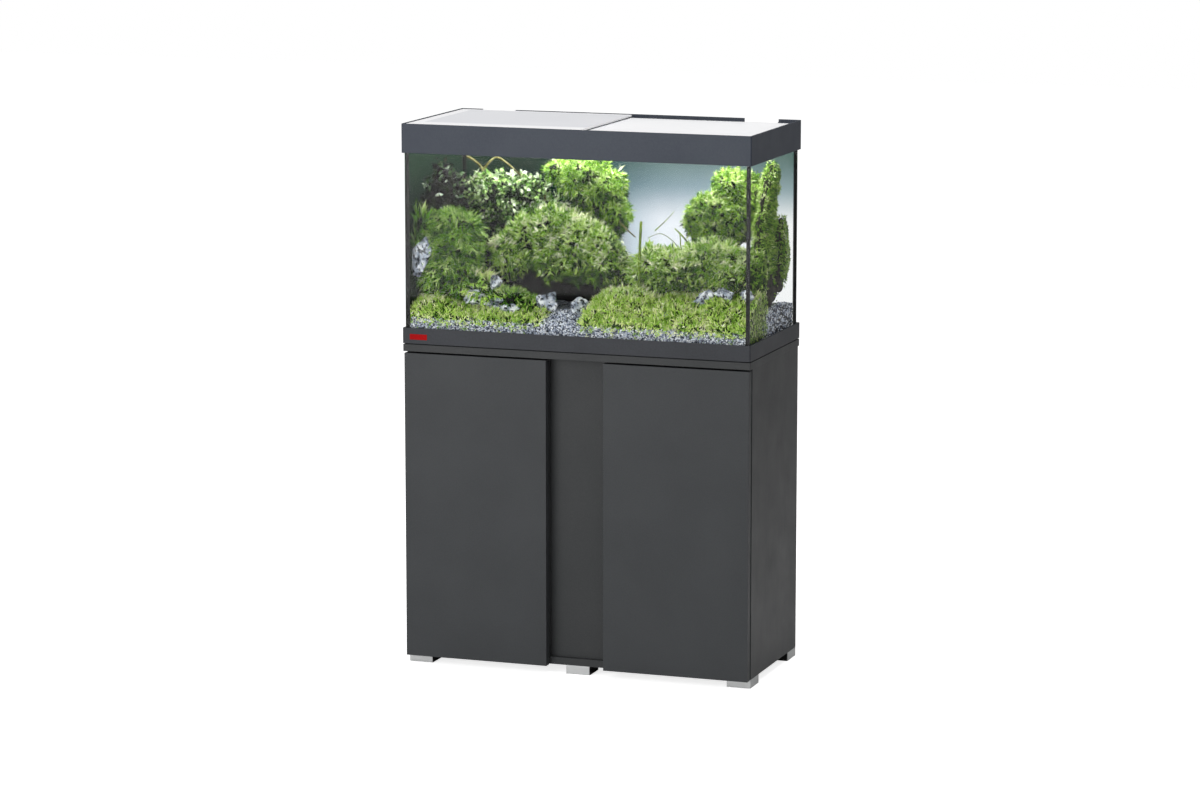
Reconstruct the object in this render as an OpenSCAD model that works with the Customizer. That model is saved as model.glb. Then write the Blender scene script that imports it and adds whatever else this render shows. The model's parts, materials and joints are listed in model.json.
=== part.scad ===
// Aquarium on a cabinet: glass tank with a planted layout, hood with two sliding
// panels, and a stand with two doors. Front faces -Y, floor at z = 0.

/* [Overall] */
// Width of the hood and base trim
hood_w = 810; // [600:1:1200]
// Depth of the hood and base trim
hood_d = 370; // [320:1:560]

/* [Cabinet] */
// Height of the feet
foot_h = 20; // [15:1:60]
// Height of the cabinet boards above the feet
cab_h = 708; // [500:1:900]
// Thickness of the cabinet boards
board_t = 16; // [12:0.5:25]
// Thickness of the doors
door_t = 18; // [16:0.5:25]
// Width of the open strip between the doors
centre_gap = 134; // [90:1:240]
// How far the centre panel sits behind the door fronts
centre_recess = 31; // [24:1:60]
// Height of the shelf tops above the floor
shelf_z = 372; // [200:1:560]

/* [Tank] */
// Height of the glass
glass_h = 450; // [300:1:600]
// Thickness of the glass
glass_t = 6; // [5:0.5:10]
// Height of the base trim
trim_h = 35; // [20:1:60]
// Gravel depth at the front
gravel_front = 46; // [20:1:80]
// Gravel depth at the crest, half way back
gravel_mid = 78; // [30:1:120]
// Gravel depth at the back
gravel_back = 68; // [30:1:120]

/* [Hood] */
// Height of the hood
hood_h = 65; // [50:1:110]
// Wall thickness of the hood and trim
wall_t = 3.5; // [2.5:0.1:6]
// Width of each hose cut-out in the back of the hood
cutout_w = 80; // [40:1:110]
// Thickness of the sliding panels
panel_t = 4; // [3:0.1:6]

/* [Hidden] */

$fn = 64;

// heights
cab_top = foot_h + cab_h;
bay_bottom = foot_h + board_t;
bay_top = cab_top - board_t;
mat_t = 2;
lip_t = 2;
trim_z = cab_top + mat_t;
glass_z = trim_z + lip_t;
seam_t = 1;
tank_floor = glass_z + glass_t;
wall_z = tank_floor + seam_t;
glass_top = glass_z + glass_h;
hood_cover = 27;
hood_z = glass_top - hood_cover;
hood_top = hood_z + hood_h;

// cabinet plan
cab_inset = 2;
cab_hw = hood_w / 2 - cab_inset;
top_hw = hood_w / 2 - 0.5;
top_hd = hood_d / 2 - 1;
door_gap = 3;
door_front = -(hood_d / 2 - 2);
door_back = door_front + door_t;
carc_front = door_back + door_gap;
back_t = 3;
carc_back = hood_d / 2 - 3 - back_t;
door_drop = 1;
door_z = foot_h - door_drop;
door_top = bay_top - 4;
door_h = door_top - door_z;
door_edge = 1;
door_out = cab_hw - door_edge;
door_in = centre_gap / 2;
side_in = cab_hw - board_t;
part_out = door_in + board_t;

// hinge sizes, measured from the door's outer edge and its back face
pivot_in = 6.5;
pivot_deep = 7.5;
cup_r = 17.5;
cup_wall = 0.8;
cup_deep = 12;
cup_edge = 2;
pin_r = 1.3;
pin_run = 0.05;
pin_half = 14;
knuckle_r = 2.6;
arm_reach = 16;
arm_t = 4;
arm_hw = 5;
plate_t = pivot_in + door_edge + arm_reach - arm_t - board_t;
pivot_x = door_out - pivot_in;
pivot_y = door_back - pivot_deep;
cup_x = door_out - cup_edge - cup_r;
plate_y0 = carc_front + 20;
plate_y1 = carc_front + 64;
wing_y = carc_front + 38;
wing_screw = 20;
arm_screw_y = carc_front + 54;
hinge_end = 90;
hinge_zs = [door_z + hinge_end, door_top - hinge_end];
cup_screw_z = 24;
cup_screw_x = door_out - 9.5;

// feet
foot_w = 55;
foot_d = 60;
cover_t = 2;
foot_xs = [-(cab_hw - foot_w / 2), 0, cab_hw - foot_w / 2];
foot_ys = [carc_front + foot_d / 2, carc_back - foot_d / 2];
foot_screw_pitch = 26;

// tank plan
glass_hw = hood_w / 2 - 5;
glass_hd = hood_d / 2 - 5;
tank_hw = glass_hw - glass_t;
tank_hd = glass_hd - glass_t;
glass_gap = 0.5;
trim_t = 5 - glass_gap;
lip_w = 18;
mitre = 40;
fillet = 3;
film_t = 0.3;

// hood levels
ledge_gap = 0.2;
ledge_z = glass_top + ledge_gap;
ledge_t = 3;
track_t = 2.5;
track_d = 9.5;
rib_t = 2;
rib_d = 5;
slide_gap = 0.3;
upper_z = hood_top - 1.5 - panel_t;
rib_z = upper_z - slide_gap - rib_t;
lower_z = rib_z - slide_gap - panel_t;
track_z = lower_z - slide_gap - track_t;
panel_hd = hood_d / 2 - wall_t - 0.5;
panel_end = hood_w / 2 - wall_t - 0.5;
panel_lap = 8;
cut_z = ledge_z + ledge_t + 1;
cut_in = 92;

// cuts reach past the faces they open by this much
e = 0.5;

anthracite = [0.17, 0.175, 0.18];
black = [0.03, 0.03, 0.03];
steel = [0.65, 0.65, 0.66];
clear = [0.75, 0.9, 0.88, 0.3];
moss = [0.3, 0.55, 0.12];

module blk(a, b) {
  translate(a) cube(b - a);
}

// a round bar from a point, standing up, along +X or along +Y
module rod_z(p, r, h) {
  translate(p) cylinder(r = r, h = h);
}

module rod_x(p, r, h) {
  translate(p) rotate([0, 90, 0]) cylinder(r = r, h = h);
}

module rod_y(p, r, h) {
  translate(p) rotate([-90, 0, 0]) cylinder(r = r, h = h);
}

// ---------- cabinet ----------

back_screw_zs = [for (i = [0:4]) bay_bottom + 40 + i * (bay_top - bay_bottom - 80) / 4];
back_screw_xs = [-(cab_hw - board_t / 2), -(door_in + board_t / 2),
                 door_in + board_t / 2, cab_hw - board_t / 2];

module back_screw_bores() {
  for (x = back_screw_xs)
    for (z = back_screw_zs)
      rod_y([x, carc_back - 12, z], 1.5, 12 + back_t + e);
}

pin_rows = [carc_front + 60, carc_back - 40];

module shelf_pin_bores(x, dir) {
  for (y = pin_rows)
    rod_x([dir > 0 ? x : x - 8, y, shelf_z - board_t - 2.5], 2.5, 8);
}

module hinge_screw_bores() {
  for (z = hinge_zs)
    for (s = [-1, 1])
      rod_x([-cab_hw + 5, wing_y, z + s * wing_screw], 2, board_t);
}

module side_board() {
  difference() {
    blk([-cab_hw, carc_front, foot_h], [-side_in, carc_back, bay_top]);
    back_screw_bores();
    shelf_pin_bores(-side_in, -1);
    hinge_screw_bores();
  }
}

module partition_board() {
  difference() {
    blk([-part_out, carc_front, bay_bottom], [-door_in, carc_back, bay_top]);
    back_screw_bores();
    shelf_pin_bores(-part_out, 1);
  }
}

module left_side() {
  color(anthracite) side_board();
}

module right_side() {
  color(anthracite) mirror([1, 0, 0]) side_board();
}

module left_partition() {
  color(anthracite) partition_board();
}

module right_partition() {
  color(anthracite) mirror([1, 0, 0]) partition_board();
}

module bottom_board() {
  color(anthracite) difference() {
    blk([-side_in, carc_front, foot_h], [side_in, carc_back, bay_bottom]);
    foot_screw_shanks(2.2);
  }
}

module top_board() {
  color(anthracite) blk([-top_hw, -top_hd, bay_top], [top_hw, top_hd, cab_top]);
}

module centre_panel() {
  y0 = door_front + centre_recess;
  color(anthracite) blk([-door_in, y0, bay_bottom], [door_in, y0 + board_t, bay_top]);
}

module back_panel() {
  hole_x = (side_in + part_out) / 2;
  color(anthracite) difference() {
    blk([-(cab_hw - 2), carc_back, foot_h + 1], [cab_hw - 2, carc_back + back_t, bay_top - 1]);
    for (s = [-1, 1])
      rod_y([s * hole_x, carc_back - e, bay_top - 165], 35, back_t + 2 * e);
    back_screw_bores();
  }
}

module shelf() {
  blk([-(side_in - 1), carc_front + 25, shelf_z - board_t],
      [-(part_out + 1), carc_back - 3, shelf_z]);
}

module left_shelf() {
  color(anthracite) shelf();
}

module right_shelf() {
  color(anthracite) mirror([1, 0, 0]) shelf();
}

module shelf_pins() {
  color(steel)
    for (m = [0, 1])
      mirror([m, 0, 0])
        for (y = pin_rows) {
          rod_x([-side_in - 8, y, shelf_z - board_t - 2.5], 2.5, 16);
          rod_x([-part_out - 8, y, shelf_z - board_t - 2.5], 2.5, 16);
        }
}

module back_screws() {
  color(steel)
    for (x = back_screw_xs)
      for (z = back_screw_zs) {
        rod_y([x, carc_back - 12, z], 1.5, 12 + back_t);
        difference() {
          rod_y([x, carc_back + back_t, z], 3.5, 1.4);
          blk([x - 2.2, carc_back + back_t + 0.8, z - 0.4], [x + 2.2, carc_back + back_t + 2, z + 0.4]);
          blk([x - 0.4, carc_back + back_t + 0.8, z - 2.2], [x + 0.4, carc_back + back_t + 2, z + 2.2]);
        }
      }
}

// how far the shank centres sit inside the outer feet, so they reach the bottom board
function foot_shift(i) = i == 0 ? 6 : i == 2 ? -6 : 0;

module foot_screw_shanks(r) {
  for (i = [0:2])
    for (y = foot_ys)
      for (s = [-1, 1])
        rod_z([foot_xs[i] + foot_shift(i), y + s * foot_screw_pitch / 2, 12], r, foot_h);
}

// the silver cover: a front or back plate, with a side plate on the outer feet
module foot_cover(i, y) {
  x = foot_xs[i];
  out = y < 0 ? -1 : 1;
  edge = y + out * foot_d / 2;
  y0 = min(edge, edge - out * cover_t);
  blk([x - foot_w / 2, y0, 0.5], [x + foot_w / 2, y0 + cover_t, foot_h]);
  if (i != 1) {
    side = i == 0 ? x - foot_w / 2 : x + foot_w / 2 - cover_t;
    blk([side, y - foot_d / 2, 0.5], [side + cover_t, y + foot_d / 2, foot_h]);
  }
}

module feet() {
  color(black) difference() {
    for (x = foot_xs)
      for (y = foot_ys)
        blk([x - foot_w / 2, y - foot_d / 2, 0], [x + foot_w / 2, y + foot_d / 2, foot_h]);
    for (i = [0:2])
      for (y = foot_ys)
        translate([0, 0, -0.5]) foot_cover(i, y);
    for (i = [0:2])
      for (y = foot_ys)
        foot_cover(i, y);
    foot_screw_shanks(2.2);
    translate([0, 0, -12 - e]) intersection() {
      foot_screw_shanks(5);
      blk([-hood_w, -hood_d, 0], [hood_w, hood_d, 24.5]);
    }
  }
}

module foot_covers() {
  color([0.75, 0.75, 0.77])
    for (i = [0:2])
      for (y = foot_ys)
        foot_cover(i, y);
}

module foot_screws() {
  color(steel) {
    for (i = [0:2])
      for (y = foot_ys)
        for (s = [-1, 1])
          translate([foot_xs[i] + foot_shift(i), y + s * foot_screw_pitch / 2, 0]) {
            rod_z([0, 0, 12], 2.2, foot_h - 2);
            difference() {
              rod_z([0, 0, 9], 4.2, 3);
              blk([-2.5, -0.5, 8], [2.5, 0.5, 10.2]);
              blk([-0.5, -2.5, 8], [0.5, 2.5, 10.2]);
            }
          }
  }
}

// ---------- door hinges ----------

module hinge_plate(z) {
  difference() {
    union() {
      blk([-side_in, plate_y0, z - 9], [-side_in + plate_t, plate_y1, z + 9]);
      blk([-side_in, wing_y - 8, z - 27], [-side_in + plate_t, wing_y + 8, z + 27]);
    }
    for (s = [-1, 1])
      rod_x([-side_in - e, wing_y, z + s * wing_screw], 2, plate_t + 2 * e);
    rod_x([-side_in - e, arm_screw_y, z], 2, plate_t + 2 * e);
  }
}

module hinge_plates() {
  color(steel)
    for (m = [0, 1])
      mirror([m, 0, 0])
        for (z = hinge_zs)
          hinge_plate(z);
}

// the arm runs from the plate, round the board's edge, into the cup to the pin
module hinge_arm(z) {
  arm_end = plate_y1 - 2;
  difference() {
    translate([-pivot_x, pivot_y, z - arm_hw])
      linear_extrude(2 * arm_hw) difference() {
        union() {
          circle(r = knuckle_r);
          translate([0, -arm_t / 2]) square([arm_reach, arm_t]);
          translate([arm_reach - arm_t, -arm_t / 2])
            square([arm_t, arm_end - pivot_y + arm_t / 2]);
        }
        circle(r = pin_r + pin_run);
      }
    rod_x([-side_in, arm_screw_y, z], 2, plate_t + arm_t + e);
  }
}

module hinge_arms() {
  color(steel)
    for (m = [0, 1])
      mirror([m, 0, 0])
        for (z = hinge_zs)
          hinge_arm(z);
}

module slotted_head_x(p, r, h) {
  difference() {
    rod_x(p, r, h);
    translate(p) blk([h - 1, -r * 0.6, -0.5], [h + 1, r * 0.6, 0.5]);
    translate(p) blk([h - 1, -0.5, -r * 0.6], [h + 1, 0.5, r * 0.6]);
  }
}

module hinge_screws() {
  plate_face = -side_in + plate_t;
  arm_face = plate_face + arm_t;
  color(steel)
    for (m = [0, 1])
      mirror([m, 0, 0])
        for (z = hinge_zs) {
          for (s = [-1, 1]) {
            rod_x([-cab_hw + 5, wing_y, z + s * wing_screw], 2, board_t - 5 + plate_t);
            slotted_head_x([plate_face, wing_y, z + s * wing_screw], 4, 2.2);
          }
          rod_x([-side_in + 0.5, arm_screw_y, z], 2, plate_t + arm_t - 0.5);
          slotted_head_x([arm_face, arm_screw_y, z], 4, 2.2);
        }
}

module hinge_cup(z) {
  difference() {
    union() {
      rod_y([-cup_x, door_back - cup_deep, z], cup_r, cup_deep);
      blk([-(door_out - 2), door_back, z - 29], [-(door_out - 31), door_back + 1.2, z + 29]);
    }
    rod_y([-cup_x, door_back - cup_deep + cup_wall, z], cup_r - cup_wall, cup_deep + 2);
    rod_z([-pivot_x, pivot_y, z - pin_half], pin_r, 2 * pin_half);
    for (s = [-1, 1])
      rod_y([-cup_screw_x, door_back - e, z + s * cup_screw_z], 1.75, 3);
  }
}

module hinge_pin(z) {
  intersection() {
    rod_z([-pivot_x, pivot_y, z - pin_half], pin_r, 2 * pin_half);
    rod_y([-cup_x, door_back - cup_deep - e, z], cup_r - 0.05, cup_deep + 2 * e);
  }
}

module cup_screws() {
  for (z = hinge_zs)
    for (s = [-1, 1]) {
      rod_y([-cup_screw_x, door_back - 10, z + s * cup_screw_z], 1.75, 11.2);
      difference() {
        rod_y([-cup_screw_x, door_back + 1.2, z + s * cup_screw_z], 3.2, 0.8);
        translate([-cup_screw_x, door_back + 1.6, z + s * cup_screw_z]) {
          blk([-2, 0, -0.4], [2, 1, 0.4]);
          blk([-0.4, 0, -2], [0.4, 1, 2]);
        }
      }
    }
}

module door() {
  difference() {
    blk([-door_out, door_front, door_z], [-door_in, door_back, door_top]);
    for (z = hinge_zs) {
      rod_y([-cup_x, door_back - cup_deep, z], cup_r, cup_deep + e);
      for (s = [-1, 1])
        rod_y([-cup_screw_x, door_back - 10, z + s * cup_screw_z], 1.75, 11);
    }
  }
}

module left_door() {
  color(anthracite) door();
}

module right_door() {
  color(anthracite) mirror([1, 0, 0]) door();
}

module left_hinge_cups() {
  color(steel) for (z = hinge_zs) hinge_cup(z);
}

module right_hinge_cups() {
  color(steel) mirror([1, 0, 0]) for (z = hinge_zs) hinge_cup(z);
}

module left_hinge_pins() {
  color(steel) for (z = hinge_zs) hinge_pin(z);
}

module right_hinge_pins() {
  color(steel) mirror([1, 0, 0]) for (z = hinge_zs) hinge_pin(z);
}

module left_cup_screws() {
  color(steel) cup_screws();
}

module right_cup_screws() {
  color(steel) mirror([1, 0, 0]) cup_screws();
}

module door_bumpers() {
  color([0.8, 0.8, 0.8])
    for (m = [0, 1])
      mirror([m, 0, 0])
        for (z = [door_z + 40, door_top - 40])
          rod_y([-(door_in + board_t / 2), carc_front - 2, z], 4.5, 2);
}

// ---------- tank ----------

module underlay_mat() {
  color(black) blk([-glass_hw - 1, -glass_hd - 1, cab_top], [glass_hw + 1, glass_hd + 1, trim_z]);
}

module bottom_pane() {
  color(clear) blk([-glass_hw, -glass_hd, glass_z], [glass_hw, glass_hd, tank_floor]);
}

module front_pane() {
  color(clear) blk([-glass_hw, -glass_hd, wall_z], [glass_hw, -tank_hd, glass_top]);
}

module back_pane() {
  color(clear) blk([-glass_hw, tank_hd, wall_z], [glass_hw, glass_hd, glass_top]);
}

module left_pane() {
  color(clear)
    blk([-glass_hw, -tank_hd + seam_t, wall_z], [-tank_hw, tank_hd - seam_t, glass_top]);
}

module right_pane() {
  color(clear)
    blk([tank_hw, -tank_hd + seam_t, wall_z], [glass_hw, tank_hd - seam_t, glass_top]);
}

module silicone_seams() {
  color(black) {
    difference() {
      blk([-glass_hw, -glass_hd, tank_floor], [glass_hw, glass_hd, wall_z]);
      blk([-tank_hw, -tank_hd, tank_floor - e], [tank_hw, tank_hd, wall_z + e]);
    }
    for (mx = [0, 1])
      for (my = [0, 1])
        mirror([mx, 0, 0]) mirror([0, my, 0])
          translate([0, 0, tank_floor])
            linear_extrude(glass_top - tank_floor - 1)
              polygon([[glass_hw, -tank_hd], [tank_hw - fillet, -tank_hd],
                       [tank_hw, -tank_hd + fillet], [tank_hw, -tank_hd + seam_t],
                       [glass_hw, -tank_hd + seam_t]]);
  }
}

// a flat ring with softly rounded outer corners, for the trim and hood
module ring(w, d, inset, r) {
  difference() {
    union() {
      square([w - 2 * r, d], center = true);
      square([w, d - 2 * r], center = true);
      for (x = [-1, 1])
        for (y = [-1, 1])
          translate([x * (w / 2 - r), y * (d / 2 - r)]) circle(r = r);
    }
    square([w - 2 * inset, d - 2 * inset], center = true);
  }
}

// the part of a frame that belongs to one side, cut at 45 degrees at its ends
module front_share() {
  polygon([[-hood_w / 2, -hood_d / 2], [hood_w / 2, -hood_d / 2],
           [hood_w / 2 - mitre, -hood_d / 2 + mitre], [-hood_w / 2 + mitre, -hood_d / 2 + mitre]]);
}

module left_share() {
  polygon([[-hood_w / 2, -hood_d / 2], [-hood_w / 2 + mitre, -hood_d / 2 + mitre],
           [-hood_w / 2 + mitre, hood_d / 2 - mitre], [-hood_w / 2, hood_d / 2]]);
}

module level(z, h) {
  translate([0, 0, z]) linear_extrude(h) children();
}

module trim_front_rail() {
  level(trim_z, lip_t) intersection() {
    ring(hood_w, hood_d, lip_w, 2.5);
    front_share();
  }
  level(trim_z + lip_t, trim_h - lip_t) intersection() {
    ring(hood_w, hood_d, trim_t, 2.5);
    front_share();
  }
}

module trim_side_rail() {
  level(trim_z, lip_t) intersection() {
    ring(hood_w, hood_d, lip_w, 2.5);
    left_share();
  }
  level(trim_z + lip_t, trim_h - lip_t) intersection() {
    ring(hood_w, hood_d, trim_t, 2.5);
    left_share();
  }
}

badge_w = 41;
badge_h = 12.5;
badge_t = 0.8;

module badge() {
  x0 = -hood_w / 2 + 17;
  z0 = trim_z + 9;
  color([0.6, 0.04, 0.04])
    blk([x0, -hood_d / 2, z0], [x0 + badge_w, -hood_d / 2 + badge_t, z0 + badge_h]);
}

module front_trim() {
  color(black) difference() {
    trim_front_rail();
    translate([0, -e, 0]) badge();
    badge();
  }
}

module back_trim() {
  color(black) mirror([0, 1, 0]) trim_front_rail();
}

module left_trim() {
  color(black) trim_side_rail();
}

module right_trim() {
  color(black) mirror([1, 0, 0]) trim_side_rail();
}

// one sheet behind the back pane and one on the left pane
module background_film() {
  color([0.4, 0.5, 0.55]) {
    blk([-glass_hw + 3, glass_hd, wall_z], [glass_hw - 3, glass_hd + film_t, glass_top - 2]);
    blk([-glass_hw - film_t, -glass_hd + 3, wall_z], [-glass_hw, glass_hd - 3, glass_top - 2]);
  }
}

// ---------- planted layout ----------

// layout heights follow the glass, plan positions follow the tank
kz = glass_h / 450;
kx = tank_hw / 394;
ky = tank_hd / 174;
ks = min(kx, ky, kz);

function at(p) = [p[0] * kx, p[1] * ky, tank_floor + p[2] * kz];

// the top of the gravel from front to back, lifted by a small gap where asked
function gravel_line(d, lift) = [[d, tank_floor + gravel_back + lift],
                                 [0, tank_floor + gravel_mid + lift],
                                 [-d * 0.55, tank_floor + gravel_mid * 0.88 + lift],
                                 [-d, tank_floor + gravel_front + lift]];

module gravel_shape() {
  w = tank_hw - 0.5;
  d = tank_hd - 0.5;
  z0 = tank_floor + 0.2;
  difference() {
    translate([-w, 0, 0]) rotate([90, 0, 90])
      linear_extrude(2 * w) polygon(concat([[-d, z0], [d, z0]], gravel_line(d, 0)));
    for (x = [-1, 1])
      for (y = [-1, 1])
        translate([x * tank_hw, y * tank_hd, tank_floor])
          cube([2 * fillet + 1, 2 * fillet + 1, 2 * gravel_mid + 40], center = true);
  }
}

// everything under the gravel surface, to stand the planting on
module ground() {
  d = tank_hd + 1;
  z0 = tank_floor - 9;
  translate([-tank_hw - 1, 0, 0]) rotate([90, 0, 90])
    linear_extrude(2 * tank_hw + 2)
      polygon(concat([[-d, z0], [d, z0]], gravel_line(d, 0.3)));
}

module gravel_bed() {
  color([0.72, 0.74, 0.78]) gravel_shape();
}

module ball(p, r) {
  translate(at(p)) rotate([0, 0, -90]) sphere(r = r * ks);
}

// a bar between two places in the layout
module stick(a, b, r) {
  p = at(a);
  q = at(b);
  v = q - p;
  len = norm(v);
  translate(p)
    rotate([0, acos(v[2] / len), atan2(v[1], v[0])])
      cylinder(r = r * ks, h = len);
}

rock_spots = [[-372, -146, 178, 20], [-240, -128, 75, 28], [-172, -132, 68, 17], [-90, -118, 74, 28],
              [-14, -112, 74, 26], [197, -130, 66, 18], [290, -100, 76, 24]];

module front_rocks() {
  color([0.6, 0.62, 0.66]) difference() {
    for (r = rock_spots)
      ball([r[0], r[1], r[2]], r[3]);
    ground();
  }
}

// the low carpet grows between the rocks
carpet_runs = [[-386, -272], [-151, -121], [16, 174], [219, 386]];

module carpet_plants() {
  y0 = -tank_hd * 0.93;
  y1 = -tank_hd * 0.77;
  z0 = tank_floor + gravel_front;
  color(moss) difference() {
    for (r = carpet_runs)
      blk([r[0] * kx, y0, z0], [r[1] * kx, y1, tank_floor + gravel_mid]);
    ground();
  }
}

module driftwood_bars() {
  stick([-100, 40, 50], [-79, 45, 206], 17);
  stick([-83, 44, 190], [-50, 47, 262], 11);
  stick([-150, 55, 55], [-215, 60, 300], 10);
  stick([240, 40, 55], [252, 45, 240], 15);
}

module driftwood() {
  color([0.3, 0.22, 0.14]) difference() {
    driftwood_bars();
    ground();
  }
}

// a tall slab leaning beside the right pane, as [depth, height] of its outline
slab_outline = [[62, 40], [5, 160], [-40, 265], [-12, 325], [60, 385],
                [110, 392], [150, 350], [152, 220], [118, 40]];
slab_t = 44;

module leaning_stone() {
  color([0.3, 0.4, 0.2]) difference() {
    translate([tank_hw - (slab_t + 8) * kx, 0, 0]) rotate([90, 0, 90])
      linear_extrude(slab_t * kx)
        polygon([for (p = slab_outline) [p[0] * ky, tank_floor + p[1] * kz]]);
    ground();
  }
}

module left_moss() {
  color(moss) difference() {
    union() {
      ball([-324, -95, 130], 62);
      ball([-322, -92, 218], 60);
    }
    ground();
  }
}

module centre_moss() {
  color(moss) {
    ball([-165, -60, 175], 52);
    ball([-85, -65, 190], 58);
    ball([-5, -60, 178], 52);
  }
}

module crown_moss() {
  color(moss) {
    difference() {
      ball([-20, 40, 310], 78);
      driftwood_bars();
    }
    ball([-118, 62, 356], 28);
  }
}

module right_moss() {
  color(moss) {
    ball([150, -50, 160], 50);
    ball([225, -45, 185], 62);
    ball([305, -50, 180], 56);
    difference() {
      union() {
        ball([262, 38, 287], 64);
        ball([292, 72, 340], 46);
      }
      driftwood_bars();
    }
  }
}

module leafy_bush() {
  color([0.45, 0.65, 0.2]) difference() {
    union() {
      ball([-300, 95, 250], 54);
      ball([-225, 90, 300], 56);
      ball([-150, 105, 290], 52);
      ball([-225, 60, 215], 46);
    }
    driftwood_bars();
  }
}

module stem_plants() {
  color([0.2, 0.35, 0.15])
    for (p = [[-372, 10], [-352, 40], [-374, 70], [-366, 152], [-373, 128]])
      translate([p[0] * kx, p[1] * ky, tank_floor + gravel_mid + 1])
        cylinder(r = 6 * ks, h = 370 * kz - gravel_mid - 1);
}

// ---------- hood ----------

module rail_levels(tracks) {
  level(hood_z, hood_h) ring(hood_w, hood_d, wall_t, 3);
  level(ledge_z, ledge_t) ring(hood_w, hood_d, 15, 3);
  if (tracks) {
    level(track_z, track_t) ring(hood_w, hood_d, wall_t + track_d, 3);
    level(rib_z, rib_t) ring(hood_w, hood_d, wall_t + rib_d, 3);
  }
}

module long_rail() {
  intersection() {
    rail_levels(true);
    level(hood_z - 1, hood_h + 2) front_share();
  }
}

module end_rail() {
  intersection() {
    rail_levels(false);
    level(hood_z - 1, hood_h + 2) left_share();
  }
}

module hood_front() {
  color(anthracite) long_rail();
}

module hood_back() {
  color(anthracite) difference() {
    mirror([0, 1, 0]) long_rail();
    for (s = [-1, 1])
      translate([s * (hood_w / 2 - cut_in), hood_d / 2, cut_z + 50])
        cube([cutout_w, 60, 100], center = true);
  }
}

module hood_left() {
  color(anthracite) end_rail();
}

module hood_right() {
  color(anthracite) mirror([1, 0, 0]) end_rail();
}

module left_slide_panel() {
  color([0.88, 0.88, 0.9])
    blk([-panel_end, -panel_hd, upper_z], [panel_lap, panel_hd, upper_z + panel_t]);
}

module right_slide_panel() {
  color([0.86, 0.86, 0.88])
    blk([-panel_lap, -panel_hd, lower_z], [panel_end, panel_hd, lower_z + panel_t]);
}

bar_z = ledge_z + ledge_t + 2.5;
bar_hw = hood_w / 2 - wall_t - 6;
bar_y = 8;
bar_w = 46;
bar_t = 7;

module light_bar() {
  color([0.8, 0.8, 0.82]) difference() {
    blk([-bar_hw, bar_y - bar_w / 2, bar_z], [bar_hw, bar_y + bar_w / 2, bar_z + bar_t]);
    blk([-bar_hw + 16, bar_y - bar_w / 2 + 4, bar_z - e], [bar_hw - 16, bar_y + bar_w / 2 - 4, bar_z + 2]);
    for (s = [-1, 0, 1])
      blk([-bar_hw - e, bar_y + s * 12 - 2, bar_z + bar_t - 1.5], [bar_hw + e, bar_y + s * 12 + 2, bar_z + bar_t + e]);
  }
}

module light_diffuser() {
  color([1, 1, 1])
    blk([-bar_hw + 16.2, bar_y - bar_w / 2 + 4.2, bar_z], [bar_hw - 16.2, bar_y + bar_w / 2 - 4.2, bar_z + 2]);
}

module light_clips() {
  color(black)
    for (m = [0, 1])
      mirror([m, 0, 0]) {
        z0 = ledge_z + ledge_t;
        x0 = -(hood_w / 2 - wall_t);
        blk([x0 + 1, bar_y - bar_w / 2 - 4, z0], [x0 + 20, bar_y + bar_w / 2 + 4, bar_z]);
        for (s = [-1, 1])
          translate([x0 + 1, bar_y + s * (bar_w / 2 + 2) - 2, z0])
            cube([19, 4, 9]);
      }
}

left_side();
right_side();
bottom_board();
top_board();
left_partition();
right_partition();
centre_panel();
back_panel();
left_shelf();
right_shelf();
shelf_pins();
back_screws();
feet();
foot_covers();
foot_screws();
hinge_plates();
hinge_arms();
hinge_screws();
door_bumpers();
left_door();
left_hinge_cups();
left_hinge_pins();
left_cup_screws();
right_door();
right_hinge_cups();
right_hinge_pins();
right_cup_screws();
underlay_mat();
bottom_pane();
front_pane();
back_pane();
left_pane();
right_pane();
silicone_seams();
front_trim();
back_trim();
left_trim();
right_trim();
badge();
background_film();
gravel_bed();
carpet_plants();
front_rocks();
driftwood();
leaning_stone();
left_moss();
centre_moss();
crown_moss();
right_moss();
leafy_bush();
stem_plants();
hood_front();
hood_back();
hood_left();
hood_right();
left_slide_panel();
right_slide_panel();
light_bar();
light_diffuser();
light_clips();
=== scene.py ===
import json
import math
import random

import bmesh
import bpy
import numpy as np
from mathutils import Matrix, Vector, noise


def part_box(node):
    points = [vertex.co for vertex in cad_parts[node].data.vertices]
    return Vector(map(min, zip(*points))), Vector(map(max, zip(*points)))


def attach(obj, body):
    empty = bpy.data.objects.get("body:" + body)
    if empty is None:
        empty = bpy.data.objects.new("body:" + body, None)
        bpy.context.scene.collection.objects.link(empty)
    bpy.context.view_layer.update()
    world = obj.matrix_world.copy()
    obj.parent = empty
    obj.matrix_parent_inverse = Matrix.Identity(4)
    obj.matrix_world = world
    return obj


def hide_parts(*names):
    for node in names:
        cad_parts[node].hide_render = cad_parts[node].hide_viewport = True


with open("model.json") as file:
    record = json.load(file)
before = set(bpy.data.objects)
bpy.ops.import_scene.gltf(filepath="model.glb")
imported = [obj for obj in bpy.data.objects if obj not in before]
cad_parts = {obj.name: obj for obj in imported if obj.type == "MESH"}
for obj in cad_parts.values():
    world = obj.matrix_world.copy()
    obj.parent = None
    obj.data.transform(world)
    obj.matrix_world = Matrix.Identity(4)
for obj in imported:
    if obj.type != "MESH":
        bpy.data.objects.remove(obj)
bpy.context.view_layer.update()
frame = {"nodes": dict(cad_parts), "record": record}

MM = 0.001
nodes = frame["nodes"]
home = {n: b for b, names in frame["record"]["behaviour"]["bodies"].items() for n in names}
slots = {s["node"]: s["material_slot"] for s in frame["record"]["subparts"]}
scene = bpy.context.scene


# ---------- camera, light and floor ----------

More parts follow.
